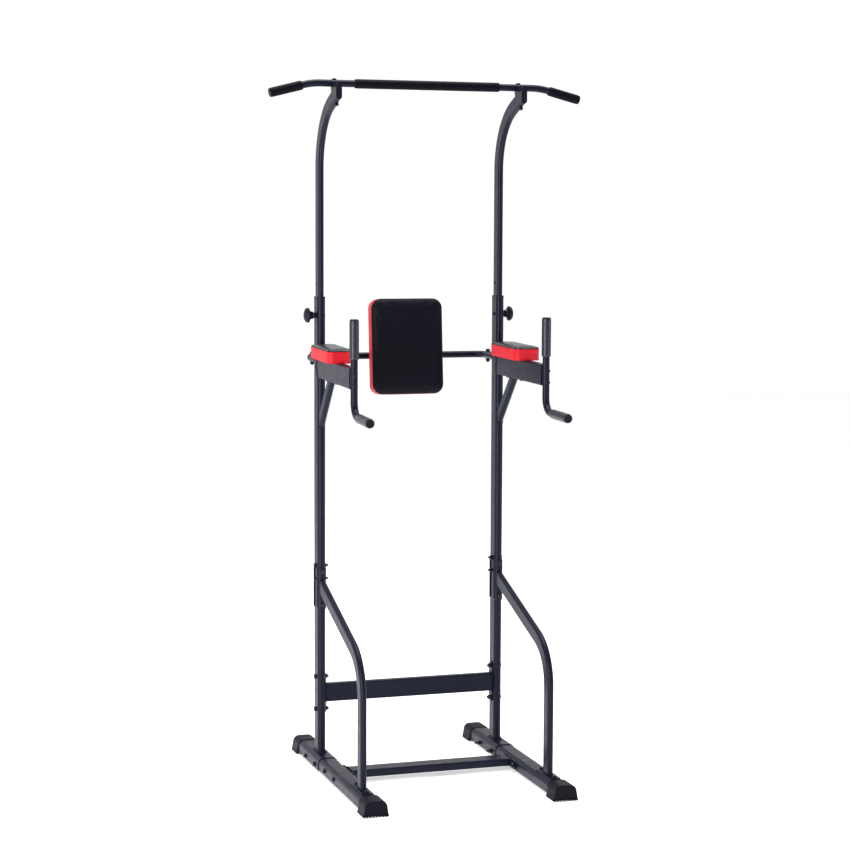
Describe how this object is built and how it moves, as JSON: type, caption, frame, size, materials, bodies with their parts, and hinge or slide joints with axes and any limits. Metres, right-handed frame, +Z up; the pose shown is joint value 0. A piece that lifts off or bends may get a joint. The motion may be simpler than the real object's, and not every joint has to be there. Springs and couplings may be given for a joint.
{
  "type": "power tower",
  "caption": "Freestanding steel pull-up and dip tower with a telescoping mast, curved pull-up bar, padded forearm rests, dip handles, backrest and bolted base.",
  "frame": {"origin": "centre of the footprint on the floor, under the base", "axes": "+Z up, -Y towards the front, where the dip handles point, +X to the right as seen from the front"},
  "size_m": [1.0154, 0.868, 2.1848],
  "materials": {
    "frame_steel": "satin powder coat, very dark slate",
    "inner_steel": "bare drawn tube",
    "pin_steel": "zinc plated",
    "fasteners": "black zinc, slightly shiny",
    "black_plastic": "fine moulded texture",
    "foam": "matt closed-cell foam",
    "red_vinyl": "grained vinyl, soft sheen; the forearm pads also have a black top panel",
    "black_vinyl": "grained vinyl, soft sheen; the backrest also has a red band round its edge",
    "plywood": "bare plywood, faintly grained"
  },
  "bodies": {
    "base_frame": {"left_rear_base_tube": "frame_steel", "right_rear_base_tube": "frame_steel", "left_front_base_tube": "frame_steel", "right_front_base_tube": "frame_steel", "left_rear_foot_cap": "black_plastic", "right_rear_foot_cap": "black_plastic", "left_front_foot_cap": "black_plastic", "right_front_foot_cap": "black_plastic", "front_crossbar": "frame_steel", "rear_crossbar": "frame_steel", "left_lower_upright": "frame_steel", "right_lower_upright": "frame_steel", "joint_spigots": "inner_steel", "left_upper_upright": "frame_steel", "right_upper_upright": "frame_steel", "left_guide_bush": "black_plastic", "right_guide_bush": "black_plastic", "pin_bosses": "fasteners", "left_brace": "frame_steel", "right_brace": "frame_steel", "brace_back_plates": "frame_steel", "left_arm_beam": "frame_steel", "right_arm_beam": "frame_steel", "left_arm_strut": "frame_steel", "right_arm_strut": "frame_steel", "left_arm_pad_board": "plywood", "right_arm_pad_board": "plywood", "left_arm_pad": "red_vinyl", "right_arm_pad": "red_vinyl", "left_dip_handle": "frame_steel", "right_dip_handle": "frame_steel", "left_dip_upper_grip": "foam", "right_dip_upper_grip": "foam", "left_dip_lower_grip": "foam", "right_dip_lower_grip": "foam", "dip_handle_plugs": "black_plastic", "backrest_stubs": "frame_steel", "backrest_bar": "frame_steel", "backrest_bracket": "frame_steel", "backrest_board": "plywood", "backrest_pad": "black_vinyl", "base_bolts": "fasteners", "crossbar_bolts": "fasteners", "joint_bolts": "fasteners", "brace_bolts": "fasteners", "arm_bolts": "fasteners", "backrest_bolts": "fasteners"},
    "mast": {"left_post": "frame_steel", "right_post": "frame_steel", "post_end_plugs": "black_plastic", "bar_saddles": "frame_steel", "pull_up_bar": "frame_steel", "centre_grip": "foam", "end_grips": "foam", "bar_end_plugs": "black_plastic", "bar_bolts": "fasteners"},
    "left_pin": {"left_pull_pin": "pin_steel"},
    "right_pin": {"right_pull_pin": "pin_steel"},
    "left_knob": {"left_pull_knob": "black_plastic"},
    "right_knob": {"right_pull_knob": "black_plastic"}
  },
  "joints": [
    {"name": "height_slide", "type": "slide", "parent": "base_frame", "child": "mast", "axis": [0, 0, 1], "range_m": [-0.1, 0.1]},
    {"name": "left_pin_slide", "type": "slide", "parent": "base_frame", "child": "left_pin", "axis": [-1, 0, 0], "range_m": [-0.009, 0.002]},
    {"name": "right_pin_slide", "type": "slide", "parent": "base_frame", "child": "right_pin", "axis": [1, 0, 0], "range_m": [-0.009, 0.002]},
    {"name": "left_knob_turn", "type": "hinge", "parent": "left_pin", "child": "left_knob", "pos_m": [-0.33, 0.212, 1.453], "axis": [-1, 0, 0], "range_deg": [-1800, 360]},
    {"name": "right_knob_turn", "type": "hinge", "parent": "right_pin", "child": "right_knob", "pos_m": [0.33, 0.212, 1.453], "axis": [1, 0, 0], "range_deg": [-1800, 360]}
  ],
  "couplings": [
    {"joint": "left_pin_slide", "follows": "left_knob_turn", "m_per_rad": 0.00027852},
    {"joint": "right_pin_slide", "follows": "right_knob_turn", "m_per_rad": 0.00027852}
  ]
}
